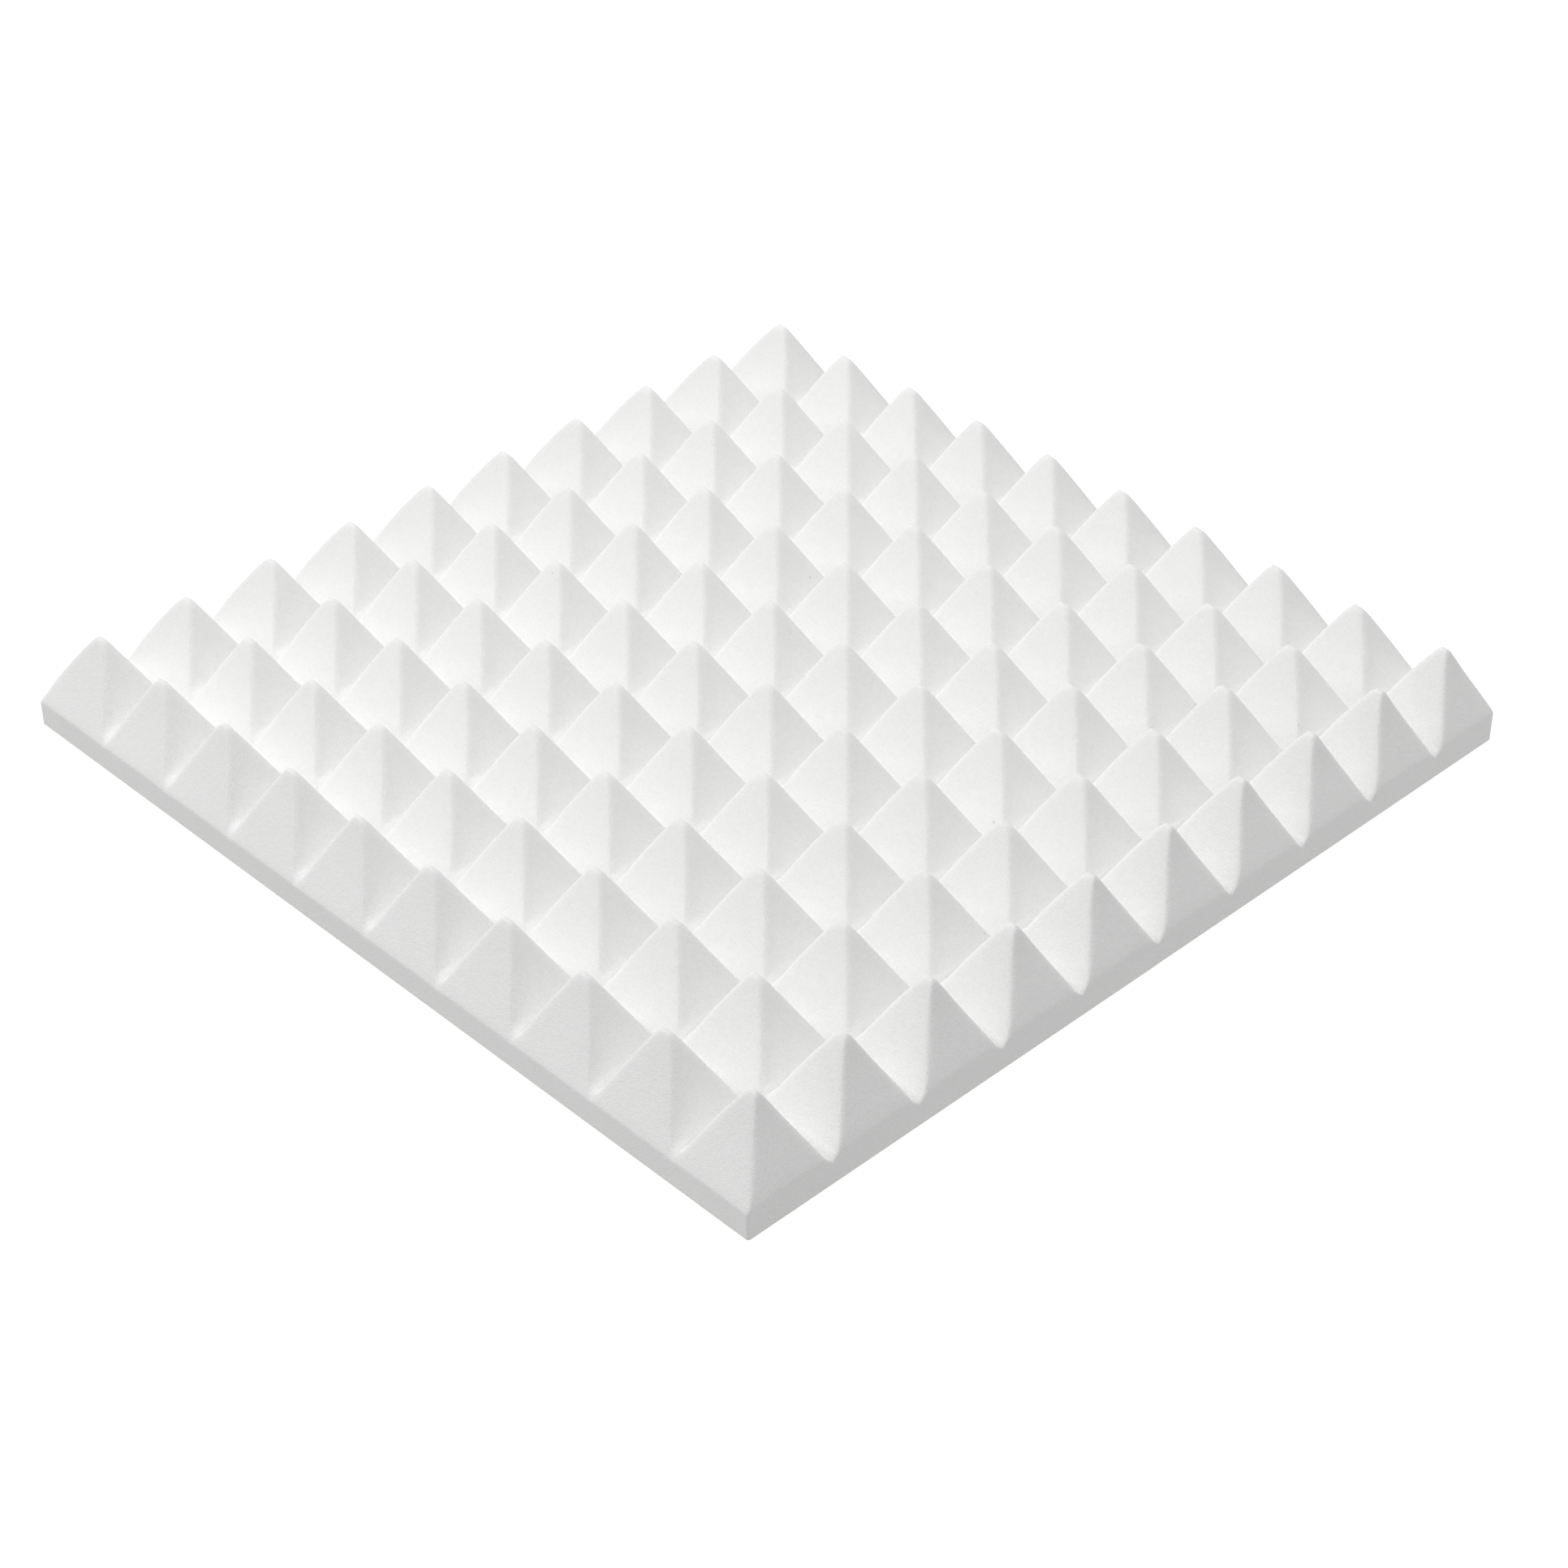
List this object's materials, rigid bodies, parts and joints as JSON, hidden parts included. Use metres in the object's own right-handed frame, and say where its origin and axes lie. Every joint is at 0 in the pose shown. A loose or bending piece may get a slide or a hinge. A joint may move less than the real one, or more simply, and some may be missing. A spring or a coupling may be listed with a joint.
{
  "type": "acoustic foam panel",
  "caption": "Square wall panel of white open-cell foam with a face of pyramids, an adhesive film on its back and a release liner in two halves.",
  "frame": {"origin": "middle of the panel's back, on the release liner's outer face", "axes": "+Z from the back towards the pyramids' tips, +X and +Y along the two sides"},
  "size_m": [0.4932, 0.5, 0.0535],
  "materials": {
    "foam": "matte",
    "adhesive": "satin",
    "liner": "satin"
  },
  "bodies": {
    "root": {"foam_panel": "foam", "adhesive_film": "adhesive", "release_liner_left": "liner", "release_liner_right": "liner"}
  },
  "joints": []
}
